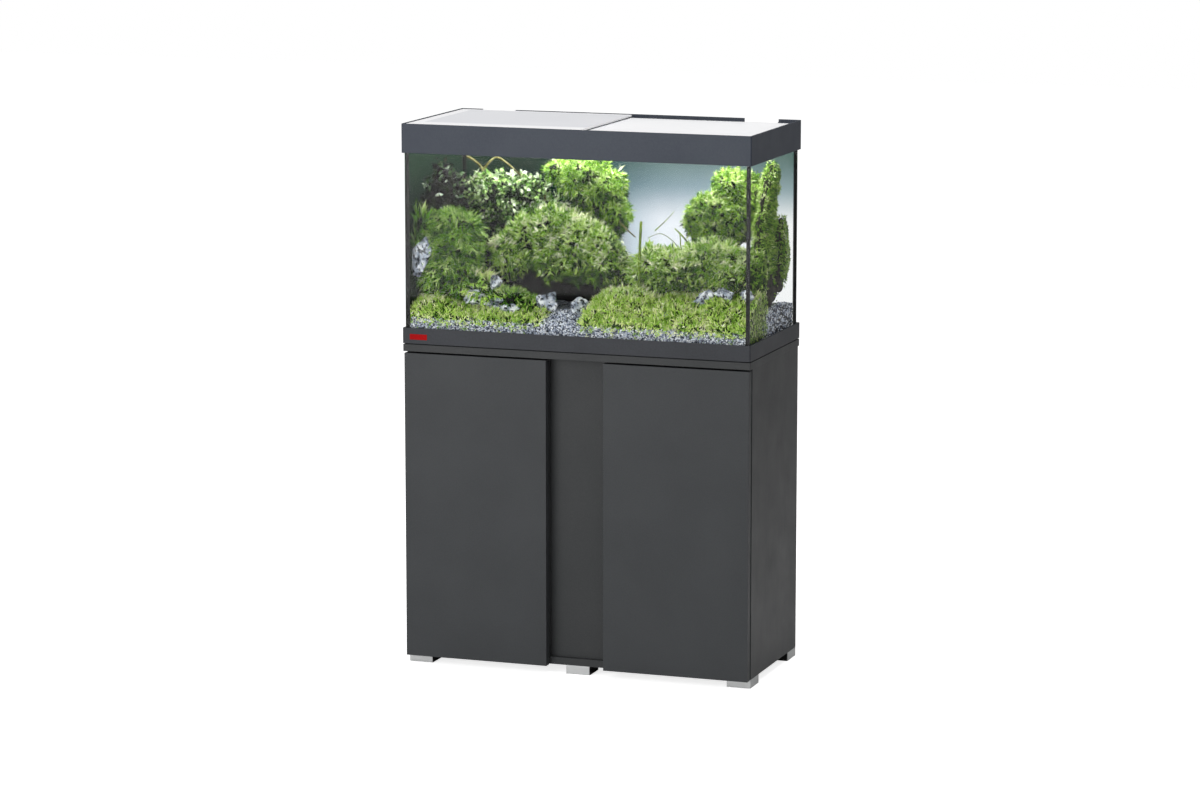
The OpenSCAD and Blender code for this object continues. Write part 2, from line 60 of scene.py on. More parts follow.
CAMERA_PLACE = (3.03591, -8.60187, 2.14938)
CAMERA_DOWN, CAMERA_TURN = 9.672, 19.468
WORLD_LIGHT = 0.3

cam = bpy.data.objects.new("camera", bpy.data.cameras.new("camera"))
scene.collection.objects.link(cam)
cam.location = CAMERA_PLACE
cam.rotation_euler = (math.radians(90 - CAMERA_DOWN), 0, math.radians(CAMERA_TURN))
cam.data.sensor_width = 36
cam.data.lens = 123.92
cam.data.clip_end = 60
scene.camera = cam
scene.view_settings.view_transform = "Standard"

world = bpy.data.worlds.new("white_room")
scene.world = world
world.use_nodes = True
sky = world.node_tree.nodes
seen = sky.new("ShaderNodeLightPath").outputs["Is Camera Ray"]
level = sky.new("ShaderNodeMapRange")
level.inputs["To Min"].default_value = WORLD_LIGHT
level.inputs["To Max"].default_value = 1.0
world.node_tree.links.new(seen, level.inputs["Value"])
world.node_tree.links.new(level.outputs[0], sky["Background"].inputs["Strength"])
sky["Background"].inputs["Color"].default_value = (1, 1, 1, 1)


def softbox(name, place, aim, size, power):
    lamp = bpy.data.lights.new(name, "AREA")
    lamp.size, lamp.energy = size, power
    obj = bpy.data.objects.new(name, lamp)
    scene.collection.objects.link(obj)
    obj.location = place
    obj.rotation_euler = (Vector(aim) - Vector(place)).to_track_quat("-Z", "Y").to_euler()


softbox("key_light", (-1.8, -4.4, 1.7), (0, 0, 0.6), 3.2, 132)
softbox("top_light", (0.3, -0.4, 4.2), (0, 0, 0.7), 3.5, 104)
softbox("fill_light", (4.2, -1.8, 1.2), (0, 0, 0.6), 2.4, 2)


# ---------- node graphs ----------

def ink(code, alpha=1.0):
    """A colour as the shader wants it, from its six-figure code."""
    out = []
    for k in (0, 2, 4):
        c = int(code[k:k + 2], 16) / 255
        out.append(c / 12.92 if c <= 0.04045 else ((c + 0.055) / 1.055) ** 2.4)
    return (*out, alpha)


def pick(sockets, key):
    if isinstance(key, int):
        return sockets[key]
    return next(s for s in sockets if s.name == key and s.enabled)


class Graph:
    """A node tree, with one way to add a node: settings first, then sockets."""

    def __init__(self, tree):
        self.tree = tree

    def put(self, socket, value):
        if isinstance(value, Amount):
            value = value.socket
        if isinstance(value, bpy.types.NodeSocket):
            self.tree.links.new(value, socket)
        else:
            socket.default_value = value

    def add(self, kind, settings=None, sockets=None):
        node = self.tree.nodes.new(kind)
        for key, value in (settings or {}).items():
            if key == "stops":
                band = node.color_ramp.elements
                while len(band) < len(value):
                    band.new(0.5)
                for stop, (where, colour) in zip(band, value):
                    stop.position = where
                for stop, (where, colour) in zip(band, value):
                    stop.color = colour
            else:
                setattr(node, key, value)
        for key, value in (sockets or {}).items():
            self.put(pick(node.inputs, key), value)
        return node

    def get(self, kind, settings=None, sockets=None, out=0):
        return pick(self.add(kind, settings, sockets).outputs, out)

    def amount(self, kind, settings=None, sockets=None, out=0):
        return Amount(self, self.get(kind, settings, sockets, out))


class Amount:
    """A number that varies from place to place. Arithmetic on it adds Math nodes."""

    def __init__(self, graph, socket):
        self.graph, self.socket = graph, socket

    def _math(self, operation, a, b=0.0, clamp=False):
        return self.graph.amount("ShaderNodeMath", {"operation": operation, "use_clamp": clamp},
                                 {0: a, 1: b})

    def __add__(self, other): return self._math("ADD", self, other)
    def __radd__(self, other): return self._math("ADD", other, self)
    def __sub__(self, other): return self._math("SUBTRACT", self, other)
    def __rsub__(self, other): return self._math("SUBTRACT", other, self)
    def __mul__(self, other): return self._math("MULTIPLY", self, other)
    def __rmul__(self, other): return self._math("MULTIPLY", other, self)
    def __truediv__(self, other): return self._math("DIVIDE", self, other)
    def __rtruediv__(self, other): return self._math("DIVIDE", other, self)
    def __pow__(self, other): return self._math("POWER", self, other)
    def __neg__(self): return self._math("MULTIPLY", self, -1.0)
    def most(self, other): return self._math("MAXIMUM", self, other)
    def least(self, other): return self._math("MINIMUM", self, other)
    def kept(self): return self._math("ADD", self, 0.0, clamp=True)

    def step(self, low, high):
        """0 below low, 1 above high, smooth between."""
        return self.graph.amount("ShaderNodeMapRange", {"interpolation_type": "SMOOTHSTEP"},
                                 {0: self, 1: low, 2: high, 3: 0.0, 4: 1.0})


class Finish(Graph):
    """One material: a principled shader and the patterns that feed it."""

    def __init__(self, name, **flat):
        self.mat = bpy.data.materials.new(name)
        self.mat.use_nodes = True
        super().__init__(self.mat.node_tree)
        self.shader = self.tree.nodes["Principled BSDF"]
        self.end = self.tree.nodes["Material Output"]
        coords = self.add("ShaderNodeTexCoord")
        self.place, self.facing = coords.outputs["Object"], coords.outputs["Normal"]
        for key, value in flat.items():
            self.shader.inputs[key.replace("_", " ")].default_value = value

    def set(self, **fed):
        for key, value in fed.items():
            self.put(self.shader.inputs[key.replace("_", " ")], value)
        return self

    def axis(self, k, vector=None):
        return self.amount("ShaderNodeSeparateXYZ", None, {0: vector or self.place}, k)

    def cloud(self, scale, detail=3.0, stretch=None):
        at = self.place
        if stretch:
            at = self.get("ShaderNodeMapping", None, {"Vector": at, "Scale": stretch})
        return self.amount("ShaderNodeTexNoise", None,
                           {"Vector": at, "Scale": scale, "Detail": detail})

    def cells(self, scale, out="Distance", feature="F1"):
        return self.get("ShaderNodeTexVoronoi", {"feature": feature},
                        {"Vector": self.place, "Scale": scale}, out)

    def mixed(self, share, a, b):
        return self.get("ShaderNodeMix", {"data_type": "RGBA"},
                        {"Factor": share, "A": a, "B": b}, "Result")

    def ramp(self, share, stops):
        return self.get("ShaderNodeValToRGB", {"stops": [(p, ink(c)) for p, c in stops]},
                        {"Fac": share}, "Color")

    def bump(self, height, depth, strength=1.0):
        self.set(Normal=self.get("ShaderNodeBump", None, {
            "Height": height, "Distance": depth, "Strength": strength}, "Normal"))
        return self


# ---------- finishes ----------

def board_finish(name, dark, light, rough=0.42, grain=900.0, shine=0.2):
    """Melamine or moulded plastic: near even, a pearl texture, faint mottling and rubbed spots."""
    f = Finish(name, Specular_IOR_Level=shine)
    mottle = f.cloud(5.5, 4) * 0.55 + f.cloud(grain * 0.4, 2) * 0.45
    f.set(Base_Color=f.mixed(mottle.step(0.3, 0.7), ink(dark), ink(light)))
    f.set(Roughness=f.cloud(14, 5) * 0.16 + f.cloud(170, 2, (1, 1, 0.12)) * 0.06 + (rough - 0.11))
    return f.bump(f.cloud(grain, 3) * 0.7 + f.cloud(grain * 0.27, 2) * 0.6, 0.00012, 0.7)


def metal_finish(name, dark, light, rough, along=(1, 1, 60)):
    f = Finish(name, Metallic=1.0)
    lines = f.cloud(60, 4, along)
    f.set(Base_Color=f.mixed(lines, ink(dark), ink(light)), Roughness=lines * 0.18 + (rough - 0.09))
    return f.bump(lines, 0.00006, 0.5)


def glass_finish():
    f = Finish("clear_glass", Roughness=0.02)
    clear = f.get("ShaderNodeBsdfTransparent", None, {"Color": (0.988, 0.995, 0.991, 1)})
    shine = f.get("ShaderNodeBsdfGlossy", None, {"Color": (1, 1, 1, 1), "Roughness": 0.015})
    edge_on = f.amount("ShaderNodeLayerWeight", None, {"Blend": 0.5}, "Facing")
    share = edge_on ** 4.0 * 0.1 + f.cloud(3, 2) * 0.003 + 0.003
    f.tree.links.new(f.get("ShaderNodeMixShader", None, {0: share, 1: clear, 2: shine}),
                     f.end.inputs["Surface"])
    return f


def backdrop_finish():
    """A printed film whose print glows on its tank side as painted light, standing in for a lit
    backdrop:
    deep green at the left, teal grey along the top, white low down at the right."""
    f = Finish("glowing_backdrop_print", Roughness=0.7, Specular_IOR_Level=0.0, Emission_Strength=1.0)
    across = (f.axis(0) + 0.4) / 0.8 + (f.cloud(4, 2) - 0.5) * 0.05
    # the deep green of the first stops also covers the film along the left pane, where it is a
    # painted reflection of the plants in that pane
    high = f.ramp(across, [(0.0, "28402F"), (0.2, "1D3325"), (0.36, "21443B"), (0.47, "3A5A53"),
                           (0.6, "5C786F"), (0.85, "627D76"), (1.0, "506C65")])
    mid = f.ramp(across, [(0.0, "14221A"), (0.3, "172A23"), (0.45, "577780"), (0.58, "8AA2AE"),
                          (0.75, "99AFBE"), (1.0, "9DB1B6")])
    low = f.ramp(across, [(0.0, "10160F"), (0.4, "16201C"), (0.52, "C9D5E0"), (0.6, "EEF2FA"),
                          (0.8, "F6F8FC"), (1.0, "FDFDFD")])
    level = f.axis(2)
    tone = f.mixed(level.step(1.03, 1.15), mid, high)
    tone = f.mixed(level.step(0.97, 1.07), low, tone)
    inward = (-f.axis(1, f.facing)).most(f.axis(0, f.facing)).step(0.4, 0.6)
    # the tank side, facing forward on the back film and to the right on the left film, glows with
    # the print as painted light; the outer side is a plain grey sheet
    f.set(Base_Color=f.mixed(inward, ink("3A4144"), ink("020303")),
          Emission_Color=f.mixed(inward, (0, 0, 0, 1), tone))
    return f.bump(f.cloud(700, 2), 0.00004, 0.4)


def frosted_finish():
    """Milky cover sheet with a whiter band along the front and sides."""
    f = Finish("frosted_sheet", Specular_IOR_Level=0.35)
    right = f.axis(0).step(0.004, 0.012)
    front = 1 - (f.axis(1) - right * 0.038).step(-0.120, -0.117)
    rear = f.axis(1).step(0.168, 0.170)
    sides = f.axis(0).step(0.352, 0.354).most(1 - f.axis(0).step(-0.377, -0.375))
    rim = front.most(rear).most(sides)
    milk = f.mixed((f.cloud(7, 3) * 0.3 + right * 0.7).kept(), ink("DBDCE0"), ink("FBFBFC"))
    f.set(Base_Color=f.mixed(rim, milk, ink("F6F6F7")), Roughness=f.cloud(60, 3) * 0.12 + 0.34)
    return f.bump(f.cloud(1400, 2) * (1 - rim), 0.0001, 0.6)


def leaf_finish(name, stops, rough=0.42):
    """Greenery: each leaf has its own tone, random and raised on upward-facing surfaces as painted
    light from above; the ramp runs from painted shade at the bare core to a painted highlight at
    the brightest tips.
    """
    f = Finish(name, Specular_IOR_Level=0.16)
    tone = f.amount("ShaderNodeAttribute", {"attribute_name": "tone"}, None, "Fac")
    drift = (f.cloud(27, 3) - 0.5) * 0.95 + (f.cloud(420, 2) - 0.5) * 0.22
    # the drift leaves tone 0 alone, so the bare core keeps the ramp's darkest colour as painted
    # shade
    f.set(Base_Color=f.ramp((tone + drift * tone.step(0.02, 0.2)).kept(), stops),
          Roughness=f.cloud(90, 2) * 0.3 + (rough - 0.15))
    return f.bump(f.cloud(900, 2), 0.0002, 0.5)


def stone_finish(name, dark, mid, light, spots=0.5):
    f = Finish(name, Specular_IOR_Level=0.3)
    vein = f.cloud(55, 6)
    pit = f.cloud(150, 4)
    skin = f.ramp(vein, [(0.3, dark), (0.46, mid), (0.62, light)])
    f.set(Base_Color=f.mixed(pit.step(spots, spots + 0.07), ink(dark), skin),
          Roughness=vein * 0.25 + 0.6)
    return f.bump(vein * 0.8 + pit * 0.6, 0.003, 0.8)


def gravel_finish():
    """Small grains, bluish white with some dark ones, dark lines between them as painted shade in
    the gaps, darker in the far right corner.
    """
    f = Finish("gravel_mix", Specular_IOR_Level=0.4)
    seed = f.axis(0, f.cells(330.0, "Color"))
    grain = f.amount("ShaderNodeTexVoronoi", {"feature": "DISTANCE_TO_EDGE"},
                     {"Vector": f.place, "Scale": 330.0}, "Distance")
    mix = f.ramp(seed, [(0.0, "2A2E3A"), (0.25, "5A6276"), (0.45, "A7B0C4"), (0.7, "DDE2EE"),
                        (1.0, "F7F8FC")])
    far = f.axis(0).step(0.22, 0.3) * f.axis(1).step(-0.03, 0.03)
    dull = f.ramp(seed, [(0.0, "202124"), (0.6, "45474A"), (1.0, "6A6C6E")])
    # 1A1C22 along the cell edges is painted shade in the gaps between grains
    f.set(Base_Color=f.mixed(grain.step(0.0, 0.09), ink("1A1C22"), f.mixed(far, mix, dull)),
          Roughness=seed * 0.3 + 0.45)
    return f.bump(grain.least(0.25), 0.004, 0.9)


def grain_finish():
    f = Finish("gravel_grain", Specular_IOR_Level=0.45)
    tone = f.amount("ShaderNodeAttribute", {"attribute_name": "tone"}, None, "Fac")
    f.set(Base_Color=f.ramp((tone + (f.cloud(300, 2) - 0.5) * 0.3).kept(),
                            [(0.0, "20242E"), (0.22, "454C5E"), (0.38, "97A1B8"), (0.6, "D5DBEA"),
                             (1.0, "FBFCFF")]),
          Roughness=f.cloud(500, 2) * 0.3 + 0.35)
    return f.bump(f.cloud(900, 3), 0.0003, 0.6)


def wood_finish(name, dark, mid, light):
    f = Finish(name, Specular_IOR_Level=0.08)
    fibre = f.cloud(46, 5, (3.0, 3.0, 0.6))
    f.set(Base_Color=f.ramp(fibre, [(0.32, dark), (0.52, mid), (0.72, light)]),
          Roughness=fibre * 0.2 + 0.65)
    return f.bump(fibre + f.cloud(260, 3) * 0.4, 0.002, 0.8)


def glow_finish():
    f = Finish("lit_diffuser", Roughness=0.4, Emission_Strength=27.0)
    stripe = f.cloud(30, 2, (2, 0.2, 1))
    f.set(Base_Color=f.mixed(stripe, ink("F4F6F8"), ink("FFFFFF")),
          Emission_Color=f.mixed(stripe, ink("F3F8FF"), ink("FFFFFF")))
    return f


# each ramp's first stop, near black, colours the bare core of a plant as painted shade; its whitish
# last stop is a painted highlight on the brightest tips
MOSS = [(0.0, "070D05"), (0.25, "274A14"), (0.5, "5F9628"), (0.75, "9AC54C"), (1.0, "DBECA0")]
LIME = [(0.0, "0A1306"), (0.25, "38651A"), (0.5, "80B030"), (0.75, "B8D566"), (1.0, "F2F6C8")]
FERN = [(0.0, "080E05"), (0.25, "386217"), (0.48, "83B236"), (0.7, "C2DC72"), (1.0, "FBFBE0")]
PALE = [(0.0, "060A05"), (0.25, "233F14"), (0.45, "5F9030"), (0.66, "B0CE7C"), (1.0, "FCFEEE")]
LAWN = [(0.0, "1E360B"), (0.2, "78AA34"), (0.5, "C2E668"), (0.75, "E6F2A0"), (1.0, "FDFCDC")]
DUSK = [(0.0, "0B0709"), (0.35, "1C1016"), (0.55, "2F3A22"), (0.75, "6E9060"), (1.0, "E6F2DC")]

finish = {
    "cabinet_board": board_finish("anthracite_board", "303233", "373839"),
    "door_board": board_finish("anthracite_door", "343638", "3A3C3E", 0.44),
    "back_board": wood_finish("hardboard", "2E2F31", "353638", "3B3C3E"),
    "fitting_steel": metal_finish("bright_steel", "B9BBBD", "E6E7E8", 0.28),
    "hinge_metal": metal_finish("nickel_plate", "A2A4A6", "D8DADB", 0.3, (60, 1, 1)),
    "black_plastic": board_finish("black_plastic", "141414", "1D1D1E", 0.45),
    "silver_cover": metal_finish("brushed_silver", "AEAFAF", "CECFCF", 0.45, (1, 1, 40)),
    "bumper_rubber": board_finish("soft_rubber", "8E8F90", "A9AAAB", 0.6),
    "mat_foam": board_finish("dark_foam", "101112", "1B1C1D", 0.9, 500.0),
    "tank_glass": glass_finish(),
    "silicone": board_finish("black_silicone", "050505", "0B0B0C", 0.3, 300.0),
    "trim_plastic": board_finish("anthracite_trim", "2B2D31", "33353A", 0.42),
    "badge_red": board_finish("red_plate", "8A0305", "A60609", 0.45, shine=0.06),
    "backdrop": backdrop_finish(),
    "gravel": gravel_finish(),
    "rock": stone_finish("pale_stone", "1D2027", "9AA3B4", "F2F4F8", 0.40),
    # near-black driftwood, its darkness painted shade for the cave under the cushions
    "driftwood": wood_finish("painted_shade_wood", "030303", "070606", "120E0C"),
    "plant": leaf_finish("moss_green", MOSS),
    "hood_plastic": board_finish("blue_anthracite", "333843", "3A4049", 0.4),
    "frosted_panel": frosted_finish(),
    "light_housing": metal_finish("satin_housing", "C2C4C6", "E8E9EA", 0.35, (1, 40, 1)),
    "light_cover": glow_finish(),
}
for name, obj in nodes.items():
    obj.data.materials.clear()
    obj.data.materials.append(finish[slots[name]].mat)


# ---------- making and placing pieces ----------

def linked(name, mesh):
    obj = bpy.data.objects.new(name, mesh)
    scene.collection.objects.link(obj)
    return obj


def twin(obj):
    """A copy with a mesh of its own."""
    other = obj.copy()
    other.data = obj.data.copy()
    scene.collection.objects.link(other)
    return other


def from_bmesh(name, bm):
    mesh = bpy.data.meshes.new(name)
    bm.to_mesh(mesh)
    bm.free()
    return linked(name, mesh)


def done(obj, node, skin, *more, smooth=True):
    """Gives a piece its finish, hides the CAD nodes it stands for and rides it on their body."""
    if skin:
        obj.data.materials.clear()
        obj.data.materials.append(skin.mat)
    obj.data.polygons.foreach_set("use_smooth", [smooth] * len(obj.data.polygons))
    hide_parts(node, *more)
    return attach(obj, home[node])


def edged(node, width=0.7, skin=None):
    """A board or moulding with its sharp edges broken."""
    bm = bmesh.new()
    bm.from_mesh(nodes[node].data)
    bmesh.ops.remove_doubles(bm, verts=bm.verts, dist=2e-5)
    bmesh.ops.dissolve_limit(bm, angle_limit=math.radians(1.5), verts=bm.verts, edges=bm.edges)
    obj = from_bmesh(node + "_edged", bm)
    soft = obj.modifiers.new("arris", "BEVEL")
    soft.width, soft.segments, soft.limit_method = width * MM, 2, "ANGLE"
    soft.angle_limit = math.radians(40)
    return done(obj, node, skin or finish[slots[node]], smooth=False)


for node in ("left_side", "right_side", "bottom_board", "top_board", "left_partition",
             "right_partition", "centre_panel", "left_shelf", "right_shelf", "left_door",
             "right_door", "front_trim", "back_trim", "left_trim", "right_trim"):
    edged(node)
for node in ("hood_front", "hood_left", "hood_right"):
    edged(node, 0.9)
for node in ("left_slide_panel", "right_slide_panel"):
    edged(node, 0.6)
edged("badge", 0.25)
edged("foot_covers", 0.5)


# ---------- inside the tank ----------

bed_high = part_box("gravel_bed")[1]
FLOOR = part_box("bottom_pane")[1].z / MM
HALF_W = bed_high.x / MM
HALF_D = bed_high.y / MM
HIGHEST = 1176          # leaves stay below the lamp
PATH_X = -42            # middle of the gravel path
CARPET_EDGE = 777       # where the carpet ends above the front trim


# depth as a share of half the tank's, and the height of the gravel there
GRAVEL = ((-1.0, 46.0), (-0.55, 68.6), (0.0, 78.0), (1.0, 68.0))


def sunk(d, x=0.0):
    """Height of the gravel, in mm above the base pane, at a depth d from the middle."""
    t = d / HALF_D
    (a, low), (b, high) = next((p, q) for p, q in zip(GRAVEL, GRAVEL[1:])
                               if t < q[0] or q is GRAVEL[-1])
    base = low + (t - a) / (b - a) * (high - low)
    base += 9 * math.exp(-((x - 394) / 60) ** 2 - ((d - 92) / 55) ** 2)
    base += 9 * math.exp(-((x - PATH_X) / 38) ** 2 - ((d + 118) / 34) ** 2)
    return base


def ground(x, y):
    lump = noise.noise(Vector((x * 0.03, y * 0.03, 4))) * 2.5
    return FLOOR + sunk(y, x) + lump


def slab(name, x0, x1, y0, y1, top, low, nx, ny):
    """A closed block of ground between a lower and an upper surface."""
    bm = bmesh.new()
    rows = []
    for surface in (top, low):
        rows.append([[bm.verts.new((x * MM, y * MM, surface(x, y) * MM))
                      for x in np.linspace(x0, x1, nx)] for y in np.linspace(y0, y1, ny)])
    up, down = rows
    for j in range(ny - 1):
        for i in range(nx - 1):
            bm.faces.new((up[j][i], up[j][i + 1], up[j + 1][i + 1], up[j + 1][i]))
            bm.faces.new((down[j][i], down[j + 1][i], down[j + 1][i + 1], down[j][i + 1]))
    ring = ([(0, i) for i in range(nx - 1)] + [(j, nx - 1) for j in range(ny - 1)]
            + [(ny - 1, i) for i in range(nx - 1, 0, -1)] + [(j, 0) for j in range(ny - 1, 0, -1)])
    for (a, b), (c, d) in zip(ring, ring[1:] + ring[:1]):
        bm.faces.new((down[a][b], down[c][d], up[c][d], up[a][b]))
    bmesh.ops.recalc_face_normals(bm, faces=bm.faces)
    return from_bmesh(name, bm)


def blob(name, lobes, voxel=5.0, swell=7.0, seed=0):
    """One closed lump from rounded lobes, each (x, y, z, half width, half depth, half height)."""
    bm = bmesh.new()
    for x, y, z, rx, ry, rz in lobes:
        for v in bmesh.ops.create_icosphere(bm, subdivisions=3, radius=1.0)["verts"]:
            v.co = Vector((x + v.co.x * rx, y + v.co.y * ry, z + v.co.z * rz)) * MM
    obj = from_bmesh(name, bm)
    skin = obj.modifiers.new("skin", "REMESH")
    skin.mode, skin.voxel_size = "VOXEL", voxel * MM
    settle(obj)
    for v, n in [(v, v.normal.copy()) for v in obj.data.vertices]:
        p = v.co * 1000
        v.co += n * swell * MM * (noise.noise(p * 0.035 + Vector((seed, 0, 0))) * 1.2
                                  + noise.noise(p * 0.11 + Vector((0, seed, 0))) * 0.6)
    return obj


def settle(obj):
    """Turns what the modifiers make into the piece's own mesh."""
    bpy.context.view_layer.update()
    view = bpy.context.evaluated_depsgraph_get()
    mesh = bpy.data.meshes.new_from_object(obj.evaluated_get(view), preserve_all_data_layers=True,
                                           depsgraph=view)
    obj.modifiers.clear()
    obj.data = mesh
    return obj


def kept_inside(obj, gap=0.3):
    """Leaves and grains that reach a pane lie flat against it."""
    co = np.empty(len(obj.data.vertices) * 3, np.float32)
    obj.data.vertices.foreach_get("co", co)
    co = co.reshape(-1, 3)
    co[:, 0] = co[:, 0].clip(-(HALF_W - gap) * MM, (HALF_W - gap) * MM)
    co[:, 1] = co[:, 1].clip(-(HALF_D - gap) * MM, (HALF_D - gap) * MM)
    co[:, 2] = co[:, 2].clip((FLOOR + 1) * MM, HIGHEST * MM)
    obj.data.vertices.foreach_set("co", co.ravel())
    obj.data.update()
    return obj


def cover_tree():
    """Sets small shapes all over a surface: how many, how large, how far they lean and hang."""
    tree = bpy.data.node_groups.new("surface_cover", "GeometryNodeTree")
    tree.interface.new_socket("Geometry", in_out="OUTPUT", socket_type="NodeSocketGeometry")
    for name, kind, start in (("Geometry", "Geometry", None), ("Shape", "Object", None),
                              ("Density", "Float", 1000.0), ("Size", "Float", 1.0),
                              ("Size Spread", "Float", 0.3), ("Lift", "Float", 0.004),
                              ("Lean", "Float", 0.6), ("Hang", "Float", 0.0),
                              ("Tone Low", "Float", 0.2), ("Tone High", "Float", 1.0),
                              ("Tone Up", "Float", 0.25), ("Keep Core", "Bool", True),
                              ("Seed", "Int", 0), ("Material", "Material", None)):
        socket = tree.interface.new_socket(name, in_out="INPUT", socket_type="NodeSocket" + kind)
        if start is not None:
            socket.default_value = start
    g = Graph(tree)
    ask = g.add("NodeGroupInput").outputs
    cover = g.amount("GeometryNodeInputNamedAttribute", {"data_type": "FLOAT"}, {"Name": "cover"},
                     "Attribute")
    spread = g.add("GeometryNodeDistributePointsOnFaces", {"distribute_method": "RANDOM"}, {
        "Mesh": ask["Geometry"], "Density": cover * ask["Density"], "Seed": ask["Seed"]})
    normal = spread.outputs["Normal"]

    def chance(low, high, salt):
        return g.amount("FunctionNodeRandomValue", {"data_type": "FLOAT"}, {
            "Min": low, "Max": high, "Seed": Amount(g, ask["Seed"]) + salt}, "Value")

    def jolt(low, high, salt):
        return g.get("FunctionNodeRandomValue", {"data_type": "FLOAT_VECTOR"}, {
            "Min": low, "Max": high, "Seed": Amount(g, ask["Seed"]) + salt}, "Value")

    def vector(operation, a, b=None, scale=None):
        sockets = {0: a}
        if b is not None:
            sockets[1] = b
        if scale is not None:
            sockets["Scale"] = scale
        return g.get("ShaderNodeVectorMath", {"operation": operation}, sockets, "Vector")

    out = chance(0.0, 1.0, 11) * ask["Lift"]
    up = g.amount("ShaderNodeSeparateXYZ", None, {0: normal}, 2)
    # tone is random per leaf and rises with how far the surface faces up: that rise is painted
    # light from above
    tone = (chance(ask["Tone Low"], ask["Tone High"], 23) + up * ask["Tone Up"]).kept()
    points = g.get("GeometryNodeSetPosition", None, {
        "Geometry": spread.outputs["Points"], "Offset": vector("SCALE", normal, scale=out)})
    points = g.get("GeometryNodeStoreNamedAttribute", {"data_type": "FLOAT", "domain": "POINT"},
                   {"Geometry": points, "Name": "tone", "Value": tone})
    low = g.get("ShaderNodeCombineXYZ", None, {2: -Amount(g, ask["Hang"])})
    lean = vector("SCALE", jolt((-1, -1, -1), (1, 1, 1), 37), scale=ask["Lean"])
    heading = vector("ADD", vector("ADD", normal, low), lean)
    turn = g.get("FunctionNodeAlignRotationToVector", {"axis": "Z"}, {"Vector": heading})
    turn = g.get("FunctionNodeRotateRotation", {"rotation_space": "LOCAL"}, {
        "Rotation": turn, "Rotate By": jolt((0, 0, 0), (0, 0, 6.283), 41)})
    size = (1 + chance(-1.0, 1.0, 53) * ask["Size Spread"]) * ask["Size"]
    shape = g.get("GeometryNodeObjectInfo", {"transform_space": "ORIGINAL"},
                  {"Object": ask["Shape"]}, "Geometry")
    copies = g.get("GeometryNodeInstanceOnPoints", None, {
        "Points": points, "Instance": shape, "Rotation": turn, "Scale": size})
    # the kept core carries no tone, so it takes the ramp's darkest colour: painted shade in the
    # heart of the plant
    core = g.get("GeometryNodeSwitch", {"input_type": "GEOMETRY"}, {
        "Switch": ask["Keep Core"], "True": ask["Geometry"]})
    both = g.add("GeometryNodeJoinGeometry")
    tree.links.new(core, both.inputs[0])
    tree.links.new(copies, both.inputs[0])
    solid = g.get("GeometryNodeRealizeInstances", None, {"Geometry": both.outputs[0]})
    end = g.get("GeometryNodeSetMaterial", None, {"Geometry": solid, "Material": ask["Material"]})
    g.add("NodeGroupOutput", None, {"Geometry": end})
    return tree


COVER = cover_tree()
sockets = {s.name: s.identifier for s in COVER.interface.items_tree if s.in_out == "INPUT"}


def covered(core, where=None, **sizes):
    """Runs the surface cover on a lump. where(place, normal) thins it from 1 to 0."""
    data = core.data
    mark = data.attributes.new("cover", "FLOAT", "POINT")
    mark.data.foreach_set("value", [1.0 if where is None else where(v.co / MM, v.normal)
                                    for v in data.vertices])
    mod = core.modifiers.new("cover", "NODES")
    mod.node_group = COVER
    for name, value in sizes.items():
        mod[sockets[name.replace("_", " ")]] = value
    settle(core)
    return kept_inside(core)


def leaf(name, length, width, fold, curl, count=1, fan=0.5, stagger=0.0):
    """A sprig of folded leaves that grows along Z, sizes in mm."""
    bm = bmesh.new()
    for k in range(count):
        turn = Matrix.Rotation(math.tau * k / count, 3, "Z") @ Matrix.Rotation(
            fan if count > 1 else 0.0, 3, "X")
        root = Vector((0, 0, stagger * length * k / max(count, 1)))
        pts = [(0, 0, 0), (-width / 2, fold, length * 0.42), (0, 0, length * 0.5),
               (width / 2, fold, length * 0.42), (0, curl, length)]
        v = [bm.verts.new((turn @ Vector(p) + root) * MM) for p in pts]
        for f in ((0, 3, 2), (0, 2, 1), (1, 2, 4), (2, 3, 4)):
            bm.faces.new([v[i] for i in f])
    return from_bmesh(name, bm)


sprig = leaf("sprig", 12, 3.2, 0.9, -1.6, 3, 0.42, 0.3)
frond = leaf("frond", 20, 3.6, 1.0, -3.0, 3, 0.3, 0.5)
leaflet = leaf("leaflet", 9.5, 6.4, 1.4, -1.2, 2, 0.7, 0.2)
blade = leaf("blade", 11, 1.9, 0.5, -1.2, 3, 0.34, 0.1)
bm = bmesh.new()
bmesh.ops.create_icosphere(bm, subdivisions=1, radius=1.9 * MM)
bmesh.ops.scale(bm, vec=(1.15, 0.9, 0.8), verts=bm.verts)
grain = from_bmesh("grain", bm)

greens = {name: leaf_finish(name, stops) for name, stops in (
    ("lime_moss", LIME), ("fern_green", FERN), ("pale_leaf", PALE), ("lawn_green", LAWN),
    ("dusk_leaf", DUSK))}
greens["moss_green"] = finish["plant"]


# gravel
bed = slab("gravel_ground", -HALF_W + 2.5, HALF_W - 2.5, -HALF_D + 2.5, HALF_D - 2.5, ground,
           lambda x, y: FLOOR + 0.3, 130, 60)
grains = twin(bed)
grains.name = "gravel_grains"


def seen_gravel(p, n):
    """Grains only where the gravel shows: the front strip, the path and along the side panes."""
    if p.z < 758:
        return 0.0
    if n.y < -0.5 or p.y < -150 or (p.x > 382 and p.y > -60):
        return 1.0
    if p.x < -386 and p.y < -60:
        return 0.6
    return 1.0 if abs(p.x - PATH_X) < 44 and p.y < -96 else 0.0


done(bed, "gravel_bed", finish["gravel"])
covered(grains, seen_gravel, Shape=grain, Density=95000.0, Size=1.0, Size_Spread=0.45, Lift=0.0012,
        Lean=3.0, Tone_Low=0.0, Tone_High=1.0, Tone_Up=0.0, Keep_Core=False, Seed=3,
        Material=grain_finish().mat)
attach(grains, home["gravel_bed"])


